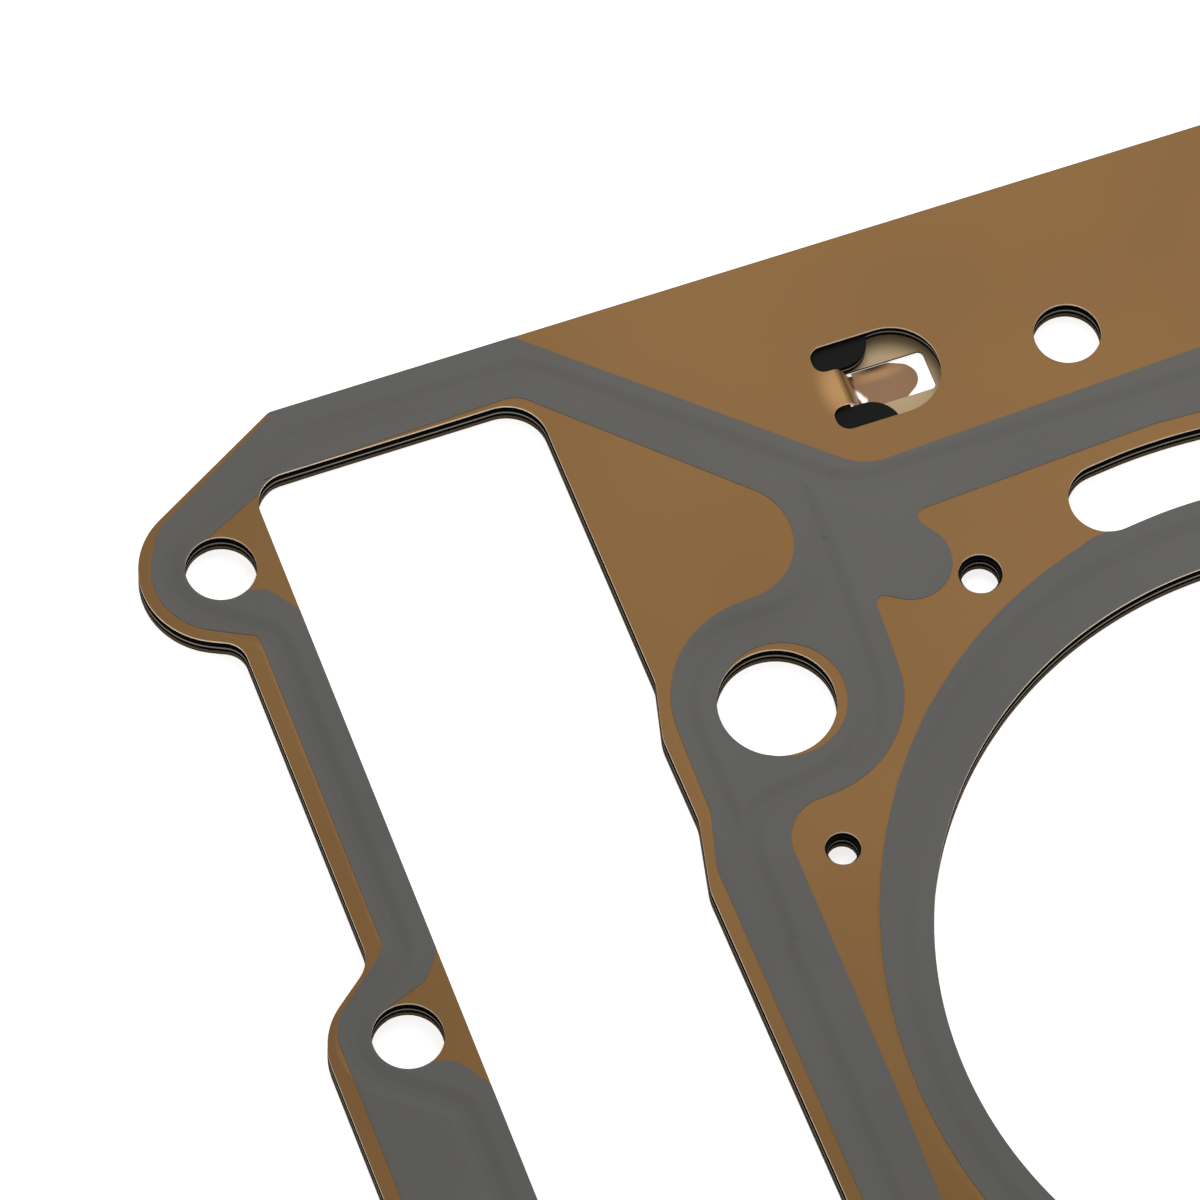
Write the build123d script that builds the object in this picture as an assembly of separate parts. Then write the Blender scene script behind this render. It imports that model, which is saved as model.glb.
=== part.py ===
from build123d import *
import os
from math import asin, atan2, cos, pi, radians, sin, tan

# Multi-layer steel cylinder head gasket for a four cylinder in-line engine, lying flat.
# Origin: axis of the first bore, at the gasket's underside. +X runs along the row of bores, away from
# the timing chain slot. +Y points to the long straight edge. +Z is up, towards the cylinder head.
# All lengths are in millimetres.

# Bores and head bolts
bore_count = 4
bore_pitch = 91.0
bore_radius = 42.5
bolt_row_y = 42.45
bolt_hole_radius = 5.8

# Sheets and the printed sealing coat
outer_sheet = 0.25
middle_sheet = 1.2
bead_height = 0.4
coat_thickness = 0.05

# Outer edge
top_edge_y = 88.9
bottom_edge_y = -66.0
end_margin = 13.1
end_corner_radius = 10.0
chamfer_start_x = -81.0
narrow_strip_x = -91.85
wide_strip_x = -98.95
wide_strip_top_y = 23.5
strip_step_y = 29.1
strip_step_radius = 4.0
strip_shoulder_radius = 7.5
blunt_corner_radius = 1.0

# Holes of the chain cover bolts, along the strip outside the chain slot
ear_x = -91.03
ear_hole_radius = 3.48
ear_pitch = 53.55
first_ear_y = 74.15
ear_count = 3
ear_boss_radius = 8.0
ear_neck_drop = 8.5
ear_neck_radius = 2.5

# Timing chain slot
slot_left_x = -85.35
slot_top_y = 82.1
slot_bottom_y = -59.2
slot_top_left_radius = 3.3
slot_top_right_radius = 4.2
slot_bottom_radius = 5.0
slot_right_top = (-56.15, 82.1)
slot_right_jog = ((-55.75, 48.4, 3.0), (-57.2, 42.5, 6.0), (-57.0, 33.0, 5.0), (-58.6, 25.6, 6.0))
slot_right_bottom_x = -56.75

# Coolant slots above and below each bore, and the small coolant holes
coolant_slot_radius = 53.375
coolant_slot_width = 7.65
coolant_slot_half_angle = 7.89
steam_hole_x = 22.0
steam_hole_y = 49.1
steam_hole_radius = 2.16
web_hole_y = 25.57
web_hole_shift = 0.43
web_hole_radius = 1.76
lower_small_hole_step = 0.3

# Tooling holes, in the margin outside the sealing line
tooling_hole_x = -4.45
tooling_hole_y = 71.23
tooling_hole_radius = 3.3

# Beads pressed into the two outer sheets
bore_bead_radius = 46.2
bore_bead_width = 4.2
bore_bead_floor = 0.8
line_bead_width = 3.4
line_bead_floor = 0.6
band_bead_inset = 3.6
block_bead_y = 62.2
end_bead_inset = 5.3
strip_bead_x = -88.7
ear_bead_radius = 5.3
ear_bead_reach = 8.6
bolt_bead_radius = 9.2
first_bolt_bead_radius = 8.95
near_end_bead_x = -53.8
bead_corner_radius = 3.0
bead_bend_radius = 6.0
diagonal_bead_top_x = -56.0
diagonal_bead_foot_x = -30.7
leg_start = (-35.5, 66.6)
leg_bend_radius = 7.0
first_cup_start_y = 58.0
first_cup_foot_y = (32.0, 18.0)
first_cup_foot_radius = 5.0

# Printed sealing coat: where its edges run
coat_band_y = 65.45
coat_rim = 1.6
coat_end_rim = 1.3
coat_strip_x = -90.05
coat_wide_strip_x = -97.4
coat_ear_radius = 6.8
coat_ring_x = 47.3
coat_ring_y = 50.2
coat_bolt_center = (0.9, 0.55)
coat_bolt_inner_radius = 10.9
coat_bolt_outer_radius = 11.6
coat_bolt_gap_radius = 6.2
coat_print_shift = (0.7, 0.1)
slot_rim = 0.55
slot_rim_end = (-84.0, 82.02)

# Lanced clinch that ties the sheets together: places are counted from its centre
clinch_x = (-23.2, 136.5, 296.2)
clinch_y = 73.1
clinch_round_radius = 4.85
clinch_round_offset = 1.1
clinch_lobe_radius = 1.4
clinch_lobe_reach = 6.0
keyhole_round_radius = 5.05
keyhole_round_left_x = 0.2
keyhole_neck_x = -5.2
keyhole_neck_y = (-2.2, 2.15)
keyhole_shoulder_radius = 3.0
clinch_slot_x = (-3.55, 5.15)
clinch_slot_y = (-2.12, 2.28)
clinch_slot_radius = 0.6
tongue_root_y = (-2.05, 1.95)
tongue_start_x = -4.8
tongue_bend_x = -3.8
tongue_bend_radius = 1.0
tongue_slope = 63.5
tongue_heel_radius = 0.3
tongue_foot_x = -2.25
tongue_foot_y = (-2.5, 2.05)
tongue_fold_y = 1.1
tongue_curl_rise = 0.4
tongue_tip = (2.35, 0.1)
tongue_tip_radius = 1.55
clinch_gap = 0.05

# Heights of the faces, counted up from the underside
bottom_low = coat_thickness
bottom_high = bottom_low + outer_sheet
middle_low = bottom_high + bead_height
middle_high = middle_low + middle_sheet
top_low = middle_high + bead_height
top_high = top_low + outer_sheet
total_height = top_high + coat_thickness
mid_plane = total_height / 2
foot_high = bottom_low - clinch_gap
foot_low = foot_high - outer_sheet

# Places that follow from the sizes above
bore_x = [bore_pitch * i for i in range(bore_count)]
bolt_x = [bore_pitch * (i - 0.5) for i in range(bore_count + 1)]
far_edge_x = bolt_x[-1] + end_margin
ear_y = [first_ear_y - ear_pitch * i for i in range(ear_count)]
mirror_x = bore_x[-1] / 2


# Outlines
def left_of(heading):
    """The unit vector a quarter turn to the left of a heading."""
    return Vector(-heading.Y, heading.X)


def tangent_line(first, second):
    """Both ends and the heading of the line that touches two stations on the side of their turn."""
    (center_a, turn_a), (center_b, turn_b) = first, second
    across = center_b - center_a
    swing = asin((turn_b - turn_a) / across.length)
    heading = across.normalized().rotate(Axis.Z, -swing * 180 / pi)
    side = left_of(heading)
    return center_a - side * turn_a, center_b - side * turn_b, heading


def boss_arc(center, start, end, turn):
    """The arc round a boss from start to end, turning left for 1 and right for -1."""
    first = atan2(start.Y - center.Y, start.X - center.X)
    last = atan2(end.Y - center.Y, end.X - center.X)
    swing = ((last - first) * turn % (2 * pi)) * turn
    radius = (start - center).length
    middle = center + Vector(cos(first + swing / 2), sin(first + swing / 2)) * radius
    return ThreePointArc(start, middle, end)


def tangent_path(stations, closed=True):
    """Straight runs joined by tangent arcs. A station is a corner (x, y, radius) or a boss
    (x, y, radius, turn) that the path wraps, turning left for 1 and right for -1."""
    circles = [(Vector(s[0], s[1]), s[2] * s[3] if len(s) == 4 else 0.0) for s in stations]
    count = len(stations)
    pairs = range(count if closed else count - 1)
    lines = [tangent_line(circles[i], circles[(i + 1) % count]) for i in pairs]
    arcs, starts, ends = {}, {}, {}
    for i, station in enumerate(stations):
        if not closed and i in (0, count - 1):
            starts[i] = ends[i] = circles[i][0]
            continue
        arrive, leave = lines[i - 1], lines[i % len(lines)]
        if len(station) == 4:
            starts[i], ends[i] = arrive[1], leave[0]
            arcs[i] = boss_arc(circles[i][0], starts[i], ends[i], station[3])
            continue
        corner, radius = circles[i][0], station[2]
        if radius == 0:
            starts[i] = ends[i] = corner
            continue
        half_turn = radians(arrive[2].get_angle(leave[2])) / 2
        setback = radius * tan(half_turn)
        starts[i] = corner - arrive[2] * setback
        ends[i] = corner + leave[2] * setback
        inward = (leave[2] - arrive[2]).normalized()
        arcs[i] = ThreePointArc(starts[i], corner + inward * radius * (1 / cos(half_turn) - 1), ends[i])
    edges = []
    for i in pairs:
        following = (i + 1) % count
        edges.append(Line(ends[i], starts[following]))
        if following in arcs:
            edges.append(arcs[following])
    return Wire(edges)


def area(stations):
    """The flat face inside a closed tangent path."""
    return Face(tangent_path(stations))


def prism(face, low, high):
    return extrude(Pos(0, 0, low) * face, amount=high - low, dir=(0, 0, 1))


def cylinder(x, y, radius, low, high):
    return Pos(x, y, low) * Cylinder(radius, high - low, align=(Align.CENTER, Align.CENTER, Align.MIN))


def flipped_y(stations):
    """The same stations mirrored to the other side of the row of bores."""
    return [(s[0], -s[1], s[2]) if len(s) == 3 else (s[0], -s[1], s[2], -s[3]) for s in stations]


def at_far_end(stations):
    """The same stations mirrored to the far end of the row of bores."""
    mirrored = 2 * mirror_x
    return [
        (mirrored - s[0], s[1], s[2]) if len(s) == 3 else (mirrored - s[0], s[1], s[2], -s[3])
        for s in stations
    ]


# Sheet outlines
def outer_edge():
    return area(
        [
            (far_edge_x, top_edge_y, end_corner_radius),
            (chamfer_start_x, top_edge_y, blunt_corner_radius),
            (ear_x, first_ear_y, ear_boss_radius, 1),
            (narrow_strip_x, first_ear_y - ear_neck_drop, ear_neck_radius),
            (narrow_strip_x, strip_step_y, strip_step_radius),
            (wide_strip_x, wide_strip_top_y, strip_shoulder_radius),
            (wide_strip_x, bottom_edge_y, end_corner_radius),
            (far_edge_x, bottom_edge_y, end_corner_radius),
        ]
    )


def chain_slot():
    return area(
        [
            (slot_left_x, slot_top_y, slot_top_left_radius),
            (slot_left_x, slot_bottom_y, slot_bottom_radius),
            (slot_right_bottom_x, slot_bottom_y, slot_bottom_radius),
            *reversed(slot_right_jog),
            (*slot_right_top, slot_top_right_radius),
        ]
    )


def coolant_slot(x, side):
    """A slot bent round the bore, with round ends; side is 1 above the bore and -1 below it."""
    middle = 90 * side
    run = CenterArc((x, 0), coolant_slot_radius, middle - coolant_slot_half_angle, 2 * coolant_slot_half_angle)
    return SlotArc(run, coolant_slot_width).face()


def clinch_window(x):
    """The D shaped window of the clinch, with a relief lobe on each side of its tongue."""
    top, bottom = clinch_y + clinch_round_radius, clinch_y - clinch_round_radius
    left, strip_end = x - clinch_lobe_reach, x + tongue_start_x
    root_low, root_high = clinch_y + tongue_root_y[0], clinch_y + tongue_root_y[1]
    lobe_rise = clinch_lobe_radius * 0.98
    strip_side = min(lobe_rise, (strip_end - left) * 0.98)
    return area(
        [
            (x + clinch_round_offset, clinch_y, clinch_round_radius, 1),
            (left, top, lobe_rise),
            (left, root_high, strip_side),
            (strip_end, root_high, 0),
            (strip_end, root_low, 0),
            (left, root_low, strip_side),
            (left, bottom, lobe_rise),
        ]
    )


def rectangle(x_range, y_range, radius, x=0.0, y=0.0):
    width, depth = x_range[1] - x_range[0], y_range[1] - y_range[0]
    center = Pos(x + sum(x_range) / 2, y + sum(y_range) / 2)
    return center * (RectangleRounded(width, depth, radius) if radius else Rectangle(width, depth))


def clinch_keyhole(x):
    """The window under the clinch in the middle sheet: round on the right, with a neck to the left."""
    left, neck_end = keyhole_round_left_x, keyhole_neck_x
    reach, corner = keyhole_round_radius, keyhole_shoulder_radius
    window = Pos(clinch_round_offset, 0) * Circle(reach).face() & rectangle((left, 2 * reach), (-reach, reach), 0)
    window = window + rectangle((neck_end, left + 1), keyhole_neck_y, 0)
    for edge in keyhole_neck_y:
        side = 1 if edge > 0 else -1
        rise = sorted((edge, edge + corner * side))
        shoulder = rectangle((left - corner, left), rise, 0)
        window = window + (shoulder - Pos(left - corner, edge + corner * side) * Circle(corner).face())
    return Pos(x, clinch_y) * window


def shared_openings(low, high, lower_sheet):
    """Every opening that runs through all the sheets, as solids to cut away."""
    smaller = lower_small_hole_step if lower_sheet else 0.0
    cutters = [prism(chain_slot(), low, high)]
    cutters += [cylinder(ear_x, y, ear_hole_radius, low, high) for y in ear_y]
    for side in (1, -1):
        cutters += [cylinder(x, bolt_row_y * side, bolt_hole_radius, low, high) for x in bolt_x]
        for x in bolt_x:
            hole = (x + web_hole_shift, web_hole_y * side, web_hole_radius - smaller)
            cutters.append(cylinder(*hole, low, high))
        for x in bore_x:
            cutters.append(prism(coolant_slot(x, side), low, high))
            for shift in (-steam_hole_x, steam_hole_x):
                hole = (x + shift, steam_hole_y * side, steam_hole_radius - smaller)
                cutters.append(cylinder(*hole, low, high))
    for x in (tooling_hole_x, 2 * mirror_x - tooling_hole_x):
        cutters.append(cylinder(x, tooling_hole_y, tooling_hole_radius, low, high))
    cutters += [cylinder(x, 0, bore_radius, low, high) for x in bore_x]
    return cutters


# Beads
def bead_stations():
    """Closed and open centre lines of the beads that seal everything but the bores."""
    band_y = top_edge_y - band_bead_inset
    chamfer_turn = radians(30)
    ears = []
    for y in ear_y:
        ears.append((strip_bead_x, y + ear_bead_reach, bead_corner_radius))
        ears.append((ear_x, y, ear_bead_radius, 1))
        ears.append((strip_bead_x, y - ear_bead_reach, bead_corner_radius))
    outer = [
        (diagonal_bead_top_x, band_y, bead_bend_radius),
        (chamfer_start_x + band_bead_inset * tan(chamfer_turn / 2), band_y, bead_corner_radius),
        *ears[1:],
        (strip_bead_x, -block_bead_y, bead_corner_radius),
        (far_edge_x - end_bead_inset, -block_bead_y, bead_bend_radius),
        (far_edge_x - end_bead_inset, block_bead_y, bead_bend_radius),
        (diagonal_bead_foot_x, block_bead_y, bead_bend_radius),
    ]
    near_leg = [
        (*leg_start, 0),
        (leg_start[0], bolt_row_y + first_bolt_bead_radius, leg_bend_radius),
        (bolt_x[0], bolt_row_y, first_bolt_bead_radius, 1),
        (near_end_bead_x, -block_bead_y, 0),
    ]
    first_cup = [
        (leg_start[0], first_cup_start_y, 0),
        (bolt_x[0], bolt_row_y, bolt_bead_radius, -1),
        (near_end_bead_x, first_cup_foot_y[0], first_cup_foot_radius),
        (near_end_bead_x, first_cup_foot_y[1], 0),
    ]
    corner_cup = [
        (bolt_x[0] + bolt_bead_radius, block_bead_y, 0),
        (bolt_x[0], bolt_row_y, bolt_bead_radius, -1),
        (near_end_bead_x, bolt_row_y - 1.4 * bolt_bead_radius, 0),
    ]
    cups = [flipped_y(corner_cup), at_far_end(corner_cup), flipped_y(at_far_end(corner_cup))]
    for x in bolt_x[1:-1]:
        cup = [
            (x + bolt_bead_radius, block_bead_y, 0),
            (x, bolt_row_y, bolt_bead_radius, -1),
            (x - bolt_bead_radius, block_bead_y, 0),
        ]
        cups += [cup, flipped_y(cup)]
    opened = [near_leg, first_cup, *cups]
    return outer, opened


def bead_profile(width, floor, rim, foot, back):
    """Section of a bead: slopes from rim height down to a flat foot, closed off at back height."""
    half, flat = width / 2, floor / 2
    return [(-half, back), (-half, rim), (-flat, foot), (flat, foot), (half, rim), (half, back)]


def swept_bead(path, profile):
    """A bead's section carried along its centre line."""
    start, heading = path @ 0, path % 0
    plane = Plane(origin=start, x_dir=left_of(heading), z_dir=heading)
    section = plane * Face(Wire(Polyline(*profile, close=True).edges()))
    return sweep(section, path=path)


def turned_bead(x, profile):
    """A bead's section turned about a bore."""
    points = [(x + bore_bead_radius + u, 0, z) for u, z in profile]
    section = Face(Wire(Polyline(*points, close=True).edges()))
    return revolve(section, axis=Axis((x, 0, 0), (0, 0, 1)))


def bead_solids(rim, foot, back):
    """All beads of one sheet as solids between rim, foot and back heights."""
    bore_profile = bead_profile(bore_bead_width, bore_bead_floor, rim, foot, back)
    line_profile = bead_profile(line_bead_width, line_bead_floor, rim, foot, back)
    outer, opened = bead_stations()
    beads = [turned_bead(x, bore_profile) for x in bore_x]
    beads.append(swept_bead(tangent_path(outer), line_profile))
    beads += [swept_bead(tangent_path(path, closed=False), line_profile) for path in opened]
    return beads


# Sheets
def clinch_tongue(x):
    """The tongue left standing in the window: bent down through the sheets below, then lying under
    the lowest one, with one side curled up into its slot."""
    slope, half_slope = radians(tongue_slope), radians(tongue_slope) / 2
    heel_x = tongue_bend_x + (top_high - foot_high) / tan(slope)
    miter = outer_sheet * tan(half_slope)
    side = area(
        [
            (tongue_start_x, top_low, 0),
            (tongue_bend_x - miter, top_low, tongue_bend_radius - outer_sheet),
            (heel_x - miter, foot_low, tongue_heel_radius + outer_sheet),
            (tongue_foot_x, foot_low, 0),
            (tongue_foot_x, foot_high, 0),
            (heel_x, foot_high, tongue_heel_radius),
            (tongue_bend_x, top_high, tongue_bend_radius),
            (tongue_start_x, top_high, 0),
        ]
    )
    ramp = extrude(Rot(90, 0, 0) * side, amount=tongue_root_y[1] - tongue_root_y[0], dir=(0, 1, 0))
    foot_front, foot_back = tongue_foot_y
    curl = atan2(tongue_curl_rise, foot_back - tongue_fold_y)
    under_fold = tongue_fold_y + outer_sheet * tan(curl / 2)
    tip_back = (foot_back + outer_sheet * sin(curl), foot_high + tongue_curl_rise - outer_sheet * cos(curl))
    across = area(
        [
            (foot_front, foot_low, 0),
            (under_fold, foot_low, 0),
            (*tip_back, 0),
            (foot_back, foot_high + tongue_curl_rise, 0),
            (tongue_fold_y, foot_high, 0),
            (foot_front, foot_high, 0),
        ]
    )
    plan = area(
        [
            (tongue_foot_x, foot_front, 0.4),
            (tongue_tip[0] - 1.0, foot_front, 0.8),
            (*tongue_tip, tongue_tip_radius, 1),
            (tongue_tip[0] - 1.2, tip_back[0], 0.6),
            (tongue_foot_x, tip_back[0], 0),
        ]
    )
    foot_length = tongue_tip[0] + tongue_tip_radius - tongue_foot_x
    foot = extrude(Plane.YZ.offset(tongue_foot_x) * across, amount=foot_length, dir=(1, 0, 0))
    foot = foot & prism(plan, foot_low, top_low)
    return Pos(x, clinch_y) * (Pos(0, tongue_root_y[0]) * ramp + foot)


def embossed_sheet():
    """The upper outer sheet with its beads pressed down onto the middle sheet, and no clinches yet."""
    center = (top_low + top_high) / 2
    sheet = prism(outer_edge(), top_low, top_high)
    sheet = sheet + bead_solids(top_low, top_low - bead_height, center)
    return sheet - bead_solids(top_high, top_high - bead_height, total_height)


def top_layer(embossed):
    sheet = embossed - shared_openings(0, total_height, lower_sheet=False)
    sheet = sheet - [prism(clinch_window(x), 0, total_height) for x in clinch_x]
    return sheet + [clinch_tongue(x) for x in clinch_x]


def bottom_layer(embossed):
    """The lower outer sheet: the upper one turned over, with a slot for each clinch's tongue."""
    sheet = embossed.mirror(Plane.XY.offset(mid_plane))
    sheet = sheet - shared_openings(0, total_height, lower_sheet=True)
    for x in clinch_x:
        slot = rectangle(clinch_slot_x, clinch_slot_y, clinch_slot_radius, x, clinch_y)
        sheet = sheet - prism(slot, 0, total_height)
    return sheet


def middle_layer():
    sheet = prism(outer_edge(), middle_low, middle_high)
    sheet = sheet - shared_openings(0, total_height, lower_sheet=True)
    return sheet - [prism(clinch_keyhole(x), 0, total_height) for x in clinch_x]


# Printed sealing coat
def coat_outer():
    """The outer limit of the print, which runs off the top edge beside the chain slot."""
    beyond = top_edge_y + 2
    chamfer_rim_y = 88.55
    stations = [
        (far_edge_x - coat_end_rim, coat_band_y, 6.0),
        (7.0, coat_band_y, 0),
        (-28.4, 63.95, 6.0),
        (-57.9, beyond, 0),
        (-80.9, beyond, 0),
        (-80.9, chamfer_rim_y, 0),
        (-95.4, 80.2, 4.0),
        (ear_x, first_ear_y, coat_ear_radius, 1),
        (coat_strip_x, 66.2, 0.8),
        (coat_strip_x, 30.1, 3.0),
        (coat_wide_strip_x, 24.0, 4.5),
        (coat_wide_strip_x, bottom_edge_y + coat_rim, end_corner_radius - coat_rim),
        (far_edge_x - coat_end_rim, bottom_edge_y + coat_rim, end_corner_radius - coat_rim),
    ]
    return area(stations)


def coat_window():
    """The bare field beside the chain slot, from its right edge to the print round the first bolt."""
    bolt_center = (bolt_x[0] + coat_bolt_center[0], bolt_row_y + coat_bolt_center[1])
    inside_slot = -80.0
    return area(
        [
            (-55.6, -50.0, 0),
            (-57.2, 27.5, 5.0),
            (-55.6, 33.6, 3.0),
            (*bolt_center, coat_bolt_inner_radius, -1),
            (-43.9, 60.4, 6.45, 1),
            (-57.6, slot_top_y + slot_rim, 3.0),
            (*slot_rim_end, 0),
            (inside_slot, 80.0, 0),
            (inside_slot, 70.0, 0),
            (inside_slot, -50.0, 0),
        ]
    )


def coat_islands():
    """The bare field between each bore's ring of print and the web of print outside it."""
    bolt_center = (bolt_x[0] + coat_bolt_center[0], bolt_row_y + coat_bolt_center[1])
    quarter = [
        (0, 0, 0),
        (0, 58.95, 0),
        (-26.3, 57.6, 1.0),
        (-28.0, 52.6, 4.15, -1),
        (-32.6, 50.6, 0.8),
        (*bolt_center, coat_bolt_outer_radius, -1),
        (-49.6, 31.2, 4.5),
        (-49.35, 0, 0),
    ]
    field = prism(area(quarter), 0, total_height)
    field = field + field.mirror(Plane.YZ)
    field = field + field.mirror(Plane.XZ)
    fields = [Pos(x, 0) * field for x in bore_x]
    rings = [
        prism(Pos(x, 0) * Ellipse(coat_ring_x, coat_ring_y).face(), 0, total_height) for x in bore_x
    ]
    joined = fields[0] + fields[1:]
    return joined - rings


def ear_wedges():
    """Bare wedges between each chain cover bolt hole and the edge of the chain slot."""
    past_edge = slot_left_x + 2
    first = area(
        [
            (past_edge, 81.4, 0),
            (-92.0, 77.3, 0),
            (ear_x, 74.0, 0),
            (-91.0, 71.4, 0),
            (-87.6, 70.6, 2.5),
            (past_edge, 64.4, 0),
        ]
    )
    wedges = [prism(first, 0, total_height)]
    for y in ear_y[1:]:
        wedge = area(
            [
                (past_edge, y + 10.5, 0),
                (-87.3, y + 5.1, 3.0),
                (-92.0, y + 3.4, 0),
                (-92.0, y - 2.4, 0),
                (-87.4, y - 4.1, 3.0),
                (past_edge, y - 10.8, 0),
            ]
        )
        wedges.append(prism(wedge, 0, total_height))
    return wedges


def print_column():
    """The area of the print, as a column through the whole gasket."""
    column = prism(outer_edge(), 0, total_height) & prism(coat_outer(), 0, total_height)
    column = column - shared_openings(0, total_height, lower_sheet=False)
    column = column - prism(coat_window(), 0, total_height)
    column = column - coat_islands() - ear_wedges()
    shift_x, shift_y = coat_print_shift
    gaps = []
    for side in (1, -1):
        for x in bolt_x:
            center = (x + shift_x, bolt_row_y * side + shift_y)
            gaps.append(cylinder(*center, coat_bolt_gap_radius, 0, total_height))
    return column - gaps


def top_seal_coat():
    """The grey print on the upper sheet, which follows its beads down."""
    column = print_column()
    film = column & prism(Rectangle(1000, 1000).face(), top_high, total_height)
    lining = column & prism(outer_edge(), 0, top_high)
    grooves = bead_solids(top_high, top_high - bead_height, top_high + coat_thickness)
    lifted = bead_solids(total_height, total_height - bead_height, total_height + coat_thickness)
    lining = Part() + [lining & groove for groove in grooves]
    return (film + lining) - lifted


def main():
    os.makedirs("parts", exist_ok=True)
    embossed = embossed_sheet()
    upper_coat = top_seal_coat()
    parts = {
        "top_layer": top_layer(embossed),
        "middle_layer": middle_layer(),
        "bottom_layer": bottom_layer(embossed),
        "top_seal_coat": upper_coat,
        "bottom_seal_coat": upper_coat.mirror(Plane.XY.offset(mid_plane)),
    }
    for name, part in parts.items():
        export_step(part, f"parts/{name}.step")


if __name__ == "__main__":
    main()
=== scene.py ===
import math

import bmesh
import bpy
import numpy as np
from mathutils import Matrix, Vector


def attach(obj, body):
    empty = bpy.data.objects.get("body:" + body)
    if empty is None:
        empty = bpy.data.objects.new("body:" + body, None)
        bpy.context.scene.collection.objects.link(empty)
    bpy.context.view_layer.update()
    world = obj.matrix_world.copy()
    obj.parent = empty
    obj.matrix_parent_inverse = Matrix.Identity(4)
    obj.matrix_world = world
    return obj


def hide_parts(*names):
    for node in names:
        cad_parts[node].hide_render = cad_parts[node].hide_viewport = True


# A multi-layer steel cylinder head gasket lying flat on a white table, seen from its chain slot end.
# Lengths in the code are in metres; MM turns millimetres into metres.
MM = 0.001

# Thicknesses of the sheets and the print, and the depth of a bead
SHEET = 0.25 * MM
MIDDLE_SHEET = 1.2 * MM
PRINT = 0.05 * MM
BEAD = 0.4 * MM

# Heights, counted from the underside of the lower print. The feet of the tongues hang below it.
TOP_FACE = 2.55 * MM
MIDDLE_LOW = 0.7 * MM
UNDER_FACE = 0.05 * MM
TABLE_HEIGHT = -0.27 * MM

# Middles of the three clinches, and how far each reaches
CLINCH_X = (-23.2 * MM, 136.5 * MM, 296.2 * MM)
CLINCH_Y = 73.1 * MM
CLINCH_REACH = 9 * MM

# Camera
CAMERA_PLACE = Vector((-284.79, -496.02, 1109.22)) * MM
CAMERA_TARGET = Vector((-57.70, 58.66, 2.55)) * MM
CAMERA_ROLL = 2.42
CAMERA_LENS = 391.06
CAMERA_CLIP = (0.05, 20.0)
SENSOR = 36.0

# Table and light
TABLE_HALF = 1.5
TABLE_SHADE = 0.92
TABLE_GLOW = 0.7
WORLD_STRENGTH = 0.58
LAMP_SIZE = 0.16
WHITE = (1.0, 1.0, 1.0, 1.0)

# How finely round edges and bead slopes are divided, and how far a bead's section is rounded
ARC_CUTS = 2
BEAD_ROWS = 6
ROUNDNESS = 0.5

# Shading: how softly the bead slopes show, how far the lower and the upper rim of a rolled edge
# turn up, and the angle in degrees past which an edge stays sharp
BEAD_SOFTNESS = 0.6
ROLLED_EDGE = (0.4, 1.4)
SHARP_ANGLE = 28

# The upright part of a face's normal: above LEVEL the face is level, and below STEEP it is a wall
LEVEL = 0.9995
STEEP = 0.3

# An edge of a wall stands for an arc when the surface turns by an angle between these, in radians
ARC_TURNS = (0.02, 1.0)

# How points are told apart: lines of a grid to the metre, then heights, bead faces and cuts, in metres
GRID = 1e7
SAME_HEIGHT = 1e-7
BEAD_SLACK = 1e-6
CUT_SLACK = 1e-8

# Material slots of a finished sheet
FACE_SLOT, EDGE_SLOT, UPPER_SLOT = 0, 1, 2

# Colours of the bronze coating, as they look on a screen
BRONZE_DARK = (122, 91, 54)
BRONZE_LIGHT = (128, 96, 58)

# Finish of the coating: satin and metallic, with clouds and a fine grain
COATING_ROUGHNESS = 0.5
COATING_METALLIC = 0.85
CLOUDS = 28.0

# Grain: bumps to the metre, their depth and their strength
COATING_GRAIN = (3200.0, 0.004 * MM, 0.35)
PRINT_GRAIN = (2500.0, 0.006 * MM, 0.4)
SHEARED_GRAIN = (1500.0, 0.01 * MM, 0.3)

# The painted highlight band in the middle sheet's edge, where a rounded edge would catch the light: where it
# starts, is bright, is still bright and ends
PAINTED_HIGHLIGHT_BAND = (0.34, 0.44, 0.52, 0.62)


# Shape: the pressed sheets get smooth beads, and their round edges get more points
def place_key(point):
    return tuple(round(value * GRID) for value in point)


def wall_arcs(mesh):
    """The level edges of upright walls that stand for an arc: where each bows, and its angle."""
    normals = np.zeros(len(mesh.loops) * 3, np.float32)
    mesh.corner_normals.foreach_get("vector", normals)
    normals = normals.reshape(-1, 3)
    points = [vertex.co for vertex in mesh.vertices]
    arcs = {}
    for face in mesh.polygons:
        if abs(face.normal.z) > STEEP:
            continue
        loops = list(face.loop_indices)
        for i, loop in enumerate(loops):
            following = loops[(i + 1) % 3]
            start = points[mesh.loops[loop].vertex_index]
            end = points[mesh.loops[following].vertex_index]
            if abs(start.z - end.z) > SAME_HEIGHT:
                continue
            first, last = Vector(normals[loop]), Vector(normals[following])
            turn = first.angle(last, 0.0)
            if ARC_TURNS[0] < turn < ARC_TURNS[1]:
                bow = Vector((first.x + last.x, first.y + last.y, 0.0)).normalized()
                if (last - first).dot(end - start) < 0:
                    bow.negate()
                arcs[frozenset((place_key(start), place_key(end)))] = (bow, turn)
    return arcs


def points_on_arc(start, end, bow, turn):
    """Points between the ends of an edge, moved out onto the arc that it stands for."""
    along = end - start
    radius = along.length / (2 * math.sin(turn / 2))
    drop = radius * math.cos(turn / 2)
    points = []
    for step in range(1, ARC_CUTS + 1):
        share = step / (ARC_CUTS + 1)
        off_middle = (share - 0.5) * along.length
        points.append(start + along * share + bow * (math.sqrt(radius**2 - off_middle**2) - drop))
    return points


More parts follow.
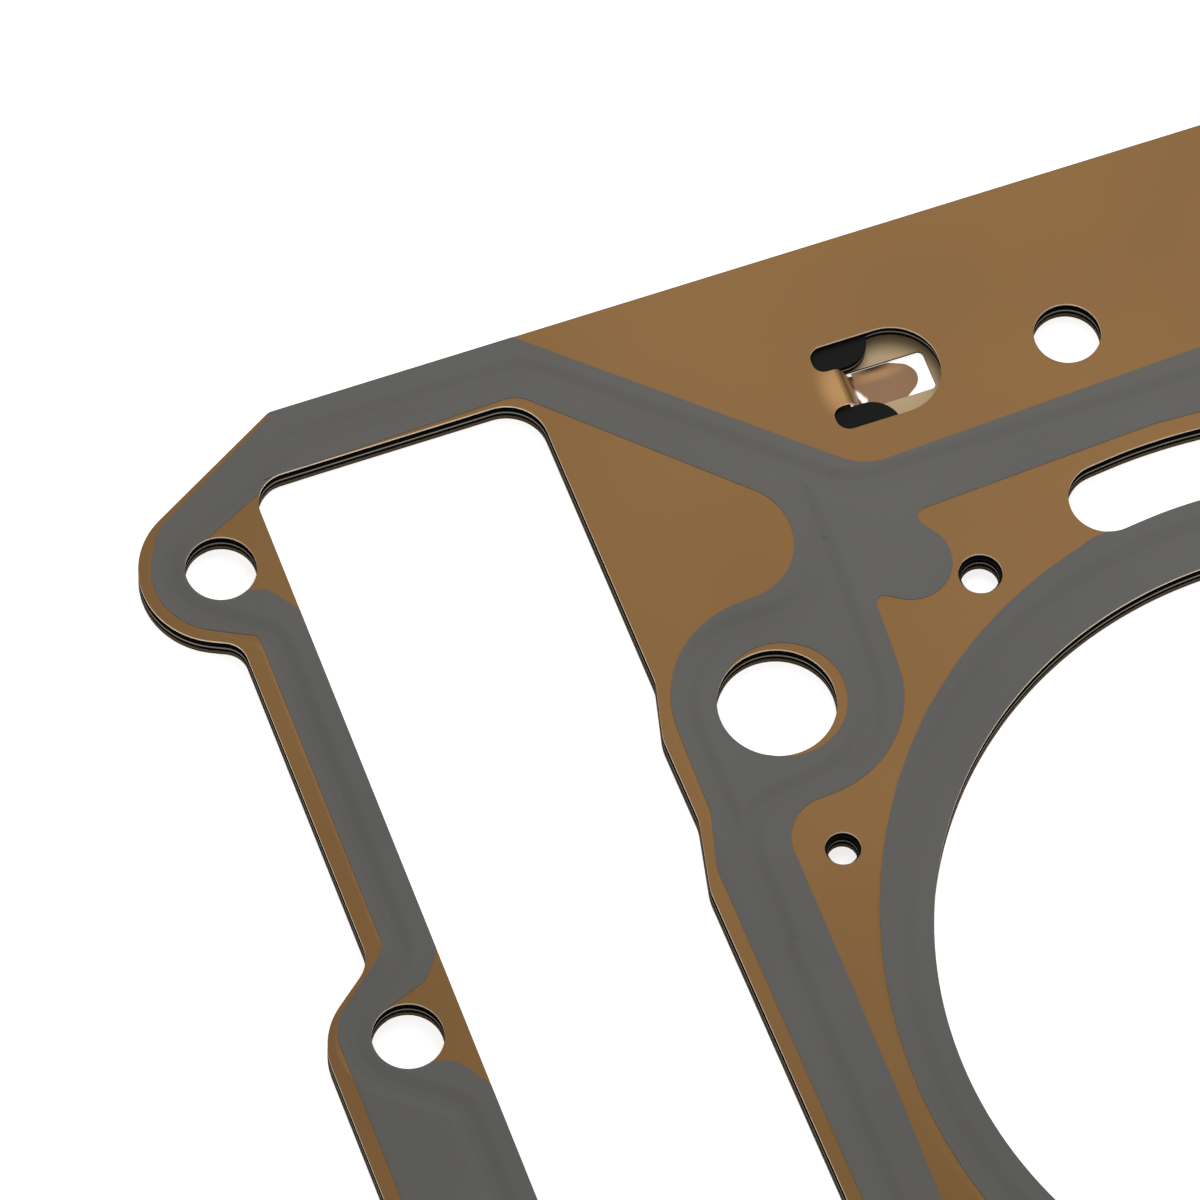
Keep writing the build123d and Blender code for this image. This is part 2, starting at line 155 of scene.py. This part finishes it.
def half_panels(mesh):
    """Pairs of triangles that make one upright panel of a wall, each with its level edge."""
    by_slant = {}
    for face in mesh.polygons:
        if abs(face.normal.z) > STEEP:
            continue
        corners = [mesh.vertices[i].co for i in face.vertices]
        level, slant, upright = [], [], 0
        for start, end in zip(corners, corners[1:] + corners[:1]):
            if abs(start.z - end.z) < SAME_HEIGHT:
                level.append((start, end))
            elif (start.xy - end.xy).length < SAME_HEIGHT:
                upright += 1
            else:
                slant.append(frozenset((place_key(start), place_key(end))))
        if len(level) == len(slant) == upright == 1:
            by_slant.setdefault(slant[0], []).append((face.index, level[0]))
    return [halves for halves in by_slant.values() if len(halves) == 2]


def rounded_copy(mesh):
    """The node's mesh as joined faces, with extra points along its round edges. Walls take the edge slot."""
    arcs = wall_arcs(mesh)
    lows = [min(vertex.co[axis] for vertex in mesh.vertices) for axis in (0, 1)]
    highs = [max(vertex.co[axis] for vertex in mesh.vertices) for axis in (0, 1)]
    index, places, faces, slots = {}, [], [], []

    def number(point):
        key = place_key(point)
        if key not in index:
            index[key] = len(places)
            places.append(point.copy())
        return index[key]

    def divided(start, end):
        """An edge's points from its start up to its end."""
        arc = arcs.get(frozenset((place_key(start), place_key(end))))
        if arc is None:
            return [start, end]
        ordered = place_key(start) < place_key(end)
        between = points_on_arc(start, end, *arc) if ordered else points_on_arc(end, start, *arc)[::-1]
        for point in between:
            for axis in (0, 1):
                point[axis] = min(max(point[axis], lows[axis]), highs[axis])
        return [start, *between, end]

    def add(outline, slot):
        if len(set(outline)) == len(outline):
            faces.append(outline)
            slots.append(slot)

    done = set()
    for (first, upper), (second, lower) in half_panels(mesh):
        one = [number(point) for point in divided(*upper)]
        other = [number(point) for point in divided(*lower)][::-1]
        if len(one) != len(other):
            continue
        done |= {first, second}
        for i in range(len(one) - 1):
            add([one[i], one[i + 1], other[i + 1], other[i]], EDGE_SLOT)
    for face in mesh.polygons:
        if face.index in done:
            continue
        corners = [mesh.vertices[i].co for i in face.vertices]
        sides = [divided(start, end) for start, end in zip(corners, corners[1:] + corners[:1])]
        if abs(face.normal.z) >= STEEP:
            add([number(point) for side in sides for point in side[:-1]], FACE_SLOT)
            continue
        longest = max(range(3), key=lambda i: len(sides[i]))
        tip = number(corners[(longest + 2) % 3])
        steps = [number(point) for point in sides[longest]]
        for one, other in zip(steps, steps[1:]):
            add([one, other, tip], EDGE_SLOT)
    joined = bpy.data.meshes.new(mesh.name + "_dressed")
    joined.from_pydata(places, [], faces)
    joined.polygons.foreach_set("material_index", slots)
    return joined


def near_clinch(point):
    sideways = min(abs(point.x - middle) for middle in CLINCH_X)
    return abs(point.y - CLINCH_Y) < CLINCH_REACH and sideways < CLINCH_REACH


def bead_slopes(shape, rim, side):
    """The sloping faces of the beads on the side of a sheet whose flat face lies at rim."""
    low, high = sorted((rim, rim - side * BEAD))
    found = []
    for face in shape.faces:
        middle = face.calc_center_median()
        sloping = face.material_index != EDGE_SLOT and STEEP < side * face.normal.z < LEVEL
        between = low - BEAD_SLACK < middle.z < high + BEAD_SLACK
        if sloping and between and not near_clinch(middle):
            found.append(face)
    return found


def soften_beads(mesh, rim, side):
    """Gives the bead slopes on one side of a sheet a smooth section in place of a straight one."""
    shape = bmesh.new()
    shape.from_mesh(mesh)
    for row in range(1, BEAD_ROWS):
        slopes = bead_slopes(shape, rim, side)
        touched = dict.fromkeys(edge for face in slopes for edge in face.edges)
        corners = dict.fromkeys(vertex for face in slopes for vertex in face.verts)
        height = rim - side * BEAD * row / BEAD_ROWS
        bmesh.ops.bisect_plane(
            shape,
            geom=[*slopes, *touched, *corners],
            dist=CUT_SLACK,
            plane_co=(0, 0, height),
            plane_no=(0, 0, 1),
        )
        shape.normal_update()
    sloped = bead_slopes(shape, rim, side)
    for vertex in dict.fromkeys(vertex for face in sloped for vertex in face.verts):
        depth = min(max((rim - vertex.co.z) * side / BEAD, 0.0), 1.0)
        rounded = depth * depth * (3 - 2 * depth)
        vertex.co.z = rim - side * BEAD * (ROUNDNESS * rounded + (1 - ROUNDNESS) * depth)
    shape.to_mesh(mesh)
    shape.free()


def smooth_shading(mesh, rolled):
    """Smooth walls and beads, with level faces kept truly level. A rolled edge is turned up at its top."""
    mesh.polygons.foreach_set("use_smooth", [True] * len(mesh.polygons))
    mesh.set_sharp_from_angle(angle=math.radians(SHARP_ANGLE))
    mesh.update()
    normals = np.zeros(len(mesh.loops) * 3, np.float32)
    mesh.corner_normals.foreach_get("vector", normals)
    normals = normals.reshape(-1, 3)
    level = set()
    for face in mesh.polygons:
        if abs(face.normal.z) > LEVEL:
            side = 1 if face.normal.z > 0 else -1
            level.update((vertex, side) for vertex in face.vertices)
    for face in mesh.polygons:
        side = 1 if face.normal.z > 0 else -1
        for loop in face.loop_indices:
            vertex = mesh.loops[loop].vertex_index
            if abs(face.normal.z) > STEEP and (vertex, side) in level:
                normals[loop] = (0, 0, side)
            elif abs(face.normal.z) > STEEP and not near_clinch(face.center):
                normals[loop, :2] *= BEAD_SOFTNESS
            elif rolled and face.material_index == EDGE_SLOT:
                normals[loop, 2] += ROLLED_EDGE[mesh.vertices[vertex].co.z > face.center.z]
    normals /= np.linalg.norm(normals, axis=1, keepdims=True)
    mesh.normals_split_custom_set([tuple(map(float, normal)) for normal in normals])


def dress(node, face_finish, edge_finish, beads=(), upper_finish=None, rolled=False):
    """A finer copy of a sheet or print that stands for the node, with its faces and cut edges finished.
    upper_finish is for a sheet whose upper side looks different, rolled for one with rounded rims."""
    mesh = rounded_copy(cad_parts[node].data)
    for rim, side in beads:
        soften_beads(mesh, rim, side)
    mesh.materials.append(face_finish)
    mesh.materials.append(edge_finish)
    if upper_finish:
        mesh.materials.append(upper_finish)
        for face in mesh.polygons:
            if face.material_index == FACE_SLOT and face.normal.z > 0:
                face.material_index = UPPER_SLOT
    smooth_shading(mesh, rolled)
    piece = bpy.data.objects.new(node + "_finished", mesh)
    bpy.context.scene.collection.objects.link(piece)
    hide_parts(node)
    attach(piece, "root")


# Finishes
def color(red, green, blue):
    """A colour given as it looks on a screen, from 0 to 255, as the linear values a shader takes."""
    values = []
    for value in (red, green, blue):
        share = value / 255
        values.append(share / 12.92 if share <= 0.04045 else ((share + 0.055) / 1.055) ** 2.4)
    return (*values, 1.0)


def new_finish(name):
    finish = bpy.data.materials.new(name)
    finish.use_nodes = True
    tree = finish.node_tree
    shader = tree.nodes["Principled BSDF"]
    place = tree.nodes.new("ShaderNodeTexCoord").outputs["Object"]
    return finish, tree, shader, place


def noise(tree, place, scale, detail=2.0):
    texture = tree.nodes.new("ShaderNodeTexNoise")
    texture.inputs["Scale"].default_value = scale
    texture.inputs["Detail"].default_value = detail
    tree.links.new(place, texture.inputs["Vector"])
    return texture.outputs["Fac"]


def between_colors(tree, factor, low, high, reach=(0.35, 0.65)):
    """A colour that runs from low to high as factor runs over reach."""
    ramp = tree.nodes.new("ShaderNodeValToRGB")
    ramp.color_ramp.elements[0].position, ramp.color_ramp.elements[1].position = reach
    ramp.color_ramp.elements[0].color, ramp.color_ramp.elements[1].color = low, high
    tree.links.new(factor, ramp.inputs["Fac"])
    return ramp.outputs["Color"]


def grain(tree, place, shader, scale, depth, strength):
    """Fine relief in a surface."""
    node = tree.nodes.new("ShaderNodeBump")
    node.inputs["Distance"].default_value = depth
    node.inputs["Strength"].default_value = strength
    tree.links.new(noise(tree, place, scale, 1.0), node.inputs["Height"])
    tree.links.new(node.outputs["Normal"], shader.inputs["Normal"])


def bronze_coating(name, low, high, metallic):
    """Thin bronze-brown coating on rolled steel: fine grain, faint clouds, satin."""
    finish, tree, shader, place = new_finish(name)
    clouds = noise(tree, place, CLOUDS)
    tree.links.new(between_colors(tree, clouds, low, high), shader.inputs["Base Color"])
    shader.inputs["Roughness"].default_value = COATING_ROUGHNESS
    shader.inputs["Metallic"].default_value = metallic
    grain(tree, place, shader, *COATING_GRAIN)
    return finish


def seal_print():
    """Grey screen-printed elastomer: matt, with a fine stipple."""
    finish, tree, shader, place = new_finish("grey_seal_print")
    greys = between_colors(tree, noise(tree, place, 40.0), color(95, 94, 91), color(99, 98, 94))
    tree.links.new(greys, shader.inputs["Base Color"])
    shader.inputs["Roughness"].default_value = 0.6
    shader.inputs["Specular IOR Level"].default_value = 0.35
    grain(tree, place, shader, *PRINT_GRAIN)
    return finish


def plain_metal(name, shade, roughness, metallic, shine=0.5):
    """Bare steel in a given colour, faintly mottled."""
    finish, tree, shader, place = new_finish(name)
    darker = (*(value * 0.85 for value in shade[:3]), 1.0)
    mottled = between_colors(tree, noise(tree, place, 900.0), darker, shade)
    tree.links.new(mottled, shader.inputs["Base Color"])
    shader.inputs["Roughness"].default_value = roughness
    shader.inputs["Metallic"].default_value = metallic
    shader.inputs["Specular IOR Level"].default_value = shine
    return finish


def carrier_edge():
    """The middle sheet's sheared edge: painted near-black for the shade between the sheets, with a painted
    highlight band half way up where a rounded edge would catch the light.
    """
    finish, tree, shader, place = new_finish("carrier_cut_edge_painted_highlight")
    height = tree.nodes.new("ShaderNodeSeparateXYZ")
    tree.links.new(place, height.inputs["Vector"])
    rise = tree.nodes.new("ShaderNodeMapRange")
    rise.inputs["From Min"].default_value = MIDDLE_LOW
    rise.inputs["From Max"].default_value = MIDDLE_LOW + MIDDLE_SHEET
    tree.links.new(height.outputs["Z"], rise.inputs["Value"])
    ramp = tree.nodes.new("ShaderNodeValToRGB")
    dark, bright = color(14, 14, 13), color(168, 164, 156)
    stops = ramp.color_ramp.elements
    stops[0].position, stops[0].color = PAINTED_HIGHLIGHT_BAND[0], dark
    stops[1].position, stops[1].color = PAINTED_HIGHLIGHT_BAND[1], bright
    stops.new(PAINTED_HIGHLIGHT_BAND[2]).color = bright
    stops.new(PAINTED_HIGHLIGHT_BAND[3]).color = dark
    tree.links.new(rise.outputs["Result"], ramp.inputs["Fac"])
    tree.links.new(ramp.outputs["Color"], shader.inputs["Base Color"])
    shader.inputs["Roughness"].default_value = 0.5
    shader.inputs["Specular IOR Level"].default_value = 0.0
    grain(tree, place, shader, *SHEARED_GRAIN)
    return finish


def clinch_place(tree, place):
    """Where a point lies from the middle of the clinch in its part of the sheet, and the point's height."""
    axes = tree.nodes.new("ShaderNodeSeparateXYZ")
    tree.links.new(place, axes.inputs["Vector"])
    along = tree.nodes.new("ShaderNodeMath")
    along.operation = "WRAP"
    along.inputs[1].default_value = CLINCH_X[1] - CLINCH_REACH
    along.inputs[2].default_value = CLINCH_X[0] - CLINCH_REACH
    tree.links.new(axes.outputs["X"], along.inputs[0])
    joined = tree.nodes.new("ShaderNodeCombineXYZ")
    tree.links.new(along.outputs["Value"], joined.inputs["X"])
    tree.links.new(axes.outputs["Y"], joined.inputs["Y"])
    shift = tree.nodes.new("ShaderNodeVectorMath")
    shift.operation = "SUBTRACT"
    shift.inputs[1].default_value = (CLINCH_X[0], CLINCH_Y, 0.0)
    tree.links.new(joined.outputs["Vector"], shift.inputs[0])
    return shift.outputs["Vector"], axes.outputs["Z"]


def patch(tree, spot, middle, half, turn=0.0):
    """A soft oval, given in millimetres and degrees: 1 in its middle and 0 from its rim out."""
    oval = tree.nodes.new("ShaderNodeMapping")
    oval.vector_type = "TEXTURE"
    oval.inputs["Location"].default_value = (middle[0] * MM, middle[1] * MM, 0.0)
    oval.inputs["Rotation"].default_value = (0.0, 0.0, math.radians(turn))
    oval.inputs["Scale"].default_value = (half[0] * MM, half[1] * MM, 1.0)
    tree.links.new(spot, oval.inputs["Vector"])
    length = tree.nodes.new("ShaderNodeVectorMath")
    length.operation = "LENGTH"
    tree.links.new(oval.outputs["Vector"], length.inputs[0])
    return fade(tree, length.outputs["Value"], 1.0, 0.2)


def fade(tree, value, nought, one):
    """A smooth run from 0, where the value is nought, to 1, where it is one."""
    run = tree.nodes.new("ShaderNodeMapRange")
    run.interpolation_type = "SMOOTHSTEP"
    run.inputs["From Min"].default_value = nought
    run.inputs["From Max"].default_value = one
    tree.links.new(value, run.inputs["Value"])
    return run.outputs["Result"]


def layer(tree, under, share, shade):
    """One shade laid over another, as thick as its share says."""
    mix = tree.nodes.new("ShaderNodeMix")
    mix.data_type = "RGBA"
    tree.links.new(share, mix.inputs["Factor"])
    tree.links.new(under, mix.inputs["A"])
    mix.inputs["B"].default_value = shade
    return mix.outputs["Result"]


def product(tree, one, other):
    node = tree.nodes.new("ShaderNodeMath")
    node.operation = "MULTIPLY"
    tree.links.new(one, node.inputs[0])
    tree.links.new(other, node.inputs[1])
    return node.outputs["Value"]


def clinched_coating():
    """The upper sheet's coating, with painted light on each tongue: a lightened root and ramp, a painted
    highlight at its bend, and a lit band and painted shade on its foot.
    """
    finish, tree, shader, place = new_finish("bronze_coating_with_tongues")
    spot, height = clinch_place(tree, place)
    low = fade(tree, height, 1.2 * MM, 0.8 * MM)
    # Painted light: the tongue's root is lightened to copper where its bend catches the light, and its ramp
    # is lightened against the shade it lies in.
    painted_root_glow = patch(tree, spot, (-4.4, -0.3), (2.7, 4.6))
    painted_ramp_light = fade(tree, height, 1.9 * MM, 1.5 * MM)
    foot = fade(tree, height, 0.6 * MM, 0.1 * MM)
    # Painted light on the foot: a lit band along its upper side, and painted shade where its curled side
    # lies in shadow under the slot's edge.
    painted_lit_band = product(tree, low, patch(tree, spot, (0.2, 1.3), (4.0, 0.9)))
    painted_shade_band = product(tree, low, patch(tree, spot, (0.0, 2.1), (2.6, 0.7)))
    # Painted highlight: near-white spots on the tongue's lower bend, where it would catch the light.
    painted_highlight_bend = product(tree, low, patch(tree, spot, (-2.35, -0.4), (0.5, 1.3), 25))
    painted_highlight_corner = product(tree, low, patch(tree, spot, (-2.1, -1.3), (0.4, 0.9), -30))
    layers = (
        (painted_root_glow, color(164, 126, 82)),
        (painted_ramp_light, color(214, 170, 122)),
        (foot, color(130, 101, 76)),
        (painted_lit_band, color(152, 118, 82)),
        (painted_shade_band, color(72, 54, 40)),
        (painted_highlight_bend, color(252, 249, 243)),
        (painted_highlight_corner, color(252, 249, 243)),
    )
    clouds = noise(tree, place, CLOUDS)
    coated = between_colors(tree, clouds, color(*BRONZE_DARK), color(*BRONZE_LIGHT))
    for share, shade in layers:
        coated = layer(tree, coated, share, shade)
    tree.links.new(coated, shader.inputs["Base Color"])
    shader.inputs["Roughness"].default_value = COATING_ROUGHNESS
    shader.inputs["Metallic"].default_value = COATING_METALLIC
    grain(tree, place, shader, *COATING_GRAIN)
    return finish


# Table, light and camera
def table():
    """A plain white table that keeps the gasket's shadow. It glows for the eye and in reflections only."""
    mesh = bpy.data.meshes.new("table")
    corners = [(-1, -1), (1, -1), (1, 1), (-1, 1)]
    points = [(x * TABLE_HALF, y * TABLE_HALF, TABLE_HEIGHT) for x, y in corners]
    mesh.from_pydata(points, [], [(0, 1, 2, 3)])
    piece = bpy.data.objects.new("table", mesh)
    bpy.context.scene.collection.objects.link(piece)
    finish = bpy.data.materials.new("white_table")
    finish.use_nodes = True
    tree = finish.node_tree
    tree.nodes.remove(tree.nodes["Principled BSDF"])
    surface = tree.nodes.new("ShaderNodeBsdfDiffuse")
    surface.inputs["Color"].default_value = (TABLE_SHADE, TABLE_SHADE, TABLE_SHADE, 1.0)
    glow = tree.nodes.new("ShaderNodeEmission")
    glow.inputs["Color"].default_value = WHITE
    path = tree.nodes.new("ShaderNodeLightPath")
    seen = path.outputs["Is Camera Ray"]
    for kind in ("Is Glossy Ray", "Is Transmission Ray"):
        either = tree.nodes.new("ShaderNodeMath")
        either.operation = "MAXIMUM"
        tree.links.new(seen, either.inputs[0])
        tree.links.new(path.outputs[kind], either.inputs[1])
        seen = either.outputs["Value"]
    strength = tree.nodes.new("ShaderNodeMath")
    strength.operation = "MULTIPLY"
    strength.inputs[1].default_value = TABLE_GLOW
    tree.links.new(seen, strength.inputs[0])
    tree.links.new(strength.outputs["Value"], glow.inputs["Strength"])
    both = tree.nodes.new("ShaderNodeAddShader")
    tree.links.new(surface.outputs["BSDF"], both.inputs[0])
    tree.links.new(glow.outputs["Emission"], both.inputs[1])
    tree.links.new(both.outputs["Shader"], tree.nodes["Material Output"].inputs["Surface"])
    mesh.materials.append(finish)


def soft_lamp(name, place, target, power):
    lamp = bpy.data.lights.new(name, "AREA")
    lamp.shape = "SQUARE"
    lamp.size = LAMP_SIZE
    lamp.energy = power
    piece = bpy.data.objects.new(name, lamp)
    piece.location = place
    piece.rotation_euler = (Vector(target) - Vector(place)).to_track_quat("-Z", "Y").to_euler()
    piece.visible_camera = False
    bpy.context.scene.collection.objects.link(piece)


def surroundings():
    world = bpy.data.worlds.new("studio")
    world.use_nodes = True
    sky = world.node_tree.nodes["Background"]
    sky.inputs["Color"].default_value = WHITE
    sky.inputs["Strength"].default_value = WORLD_STRENGTH
    bpy.context.scene.world = world


def camera():
    data = bpy.data.cameras.new("camera")
    data.sensor_width = SENSOR
    data.lens = CAMERA_LENS
    data.clip_start, data.clip_end = CAMERA_CLIP
    piece = bpy.data.objects.new("camera", data)
    facing = (CAMERA_TARGET - CAMERA_PLACE).to_track_quat("-Z", "Y").to_matrix().to_4x4()
    roll = Matrix.Rotation(math.radians(CAMERA_ROLL), 4, "Z")
    piece.matrix_world = Matrix.Translation(CAMERA_PLACE) @ facing @ roll
    bpy.context.scene.collection.objects.link(piece)
    bpy.context.scene.camera = piece


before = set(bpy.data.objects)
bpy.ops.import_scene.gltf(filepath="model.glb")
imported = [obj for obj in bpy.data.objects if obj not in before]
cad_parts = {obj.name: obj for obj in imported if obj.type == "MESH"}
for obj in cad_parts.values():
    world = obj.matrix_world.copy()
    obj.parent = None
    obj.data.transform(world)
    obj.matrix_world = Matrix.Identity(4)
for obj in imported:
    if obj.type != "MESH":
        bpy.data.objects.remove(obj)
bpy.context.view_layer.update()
bpy.context.scene.view_settings.view_transform = "Standard"

bronze = bronze_coating("bronze_coating", color(*BRONZE_DARK), color(*BRONZE_LIGHT), COATING_METALLIC)
# Olive copy of the bronze for the lower sheet's upper face: its own lighter tone, lifted further as painted
# light against the shade it lies in below the other sheets.
lightened_inner_bronze = bronze_coating("inner_bronze_coating_lightened", color(176, 152, 115), color(181, 157, 120), 0.4)
rim_steel = plain_metal("sheared_edge", color(252, 226, 198), roughness=0.35, metallic=0.5)
lower_edge = plain_metal("shaded_sheared_edge", color(80, 62, 47), roughness=0.5, metallic=0.0, shine=0.0)
# Painted dark: the bare middle sheet is given near-black, with almost no shine, for the dark surroundings it
# mirrors and the shade it lies in between the sheets.
carrier = plain_metal("carrier_steel_painted_dark", color(21, 23, 21), roughness=0.5, metallic=0.0, shine=0.06)
grey_print = seal_print()

top_beads = [(TOP_FACE, 1), (TOP_FACE - SHEET, -1)]
under_beads = [(UNDER_FACE, -1), (UNDER_FACE + SHEET, 1)]
dress("top_layer", clinched_coating(), rim_steel, top_beads, rolled=True)
dress("middle_layer", carrier, carrier_edge())
dress("bottom_layer", bronze, lower_edge, under_beads, lightened_inner_bronze)
dress("top_seal_coat", grey_print, grey_print, [(TOP_FACE + PRINT, 1)])
dress("bottom_seal_coat", grey_print, grey_print, [(UNDER_FACE - PRINT, -1)])

table()
surroundings()
soft_lamp("overhead_light", place=(0.03, 0.16, 0.20), target=(0.02, 0.12, 0.0), power=0.165)
soft_lamp("far_end_light", place=(0.27, 0.10, 0.20), target=(0.28, 0.06, 0.0), power=0.09)
camera()
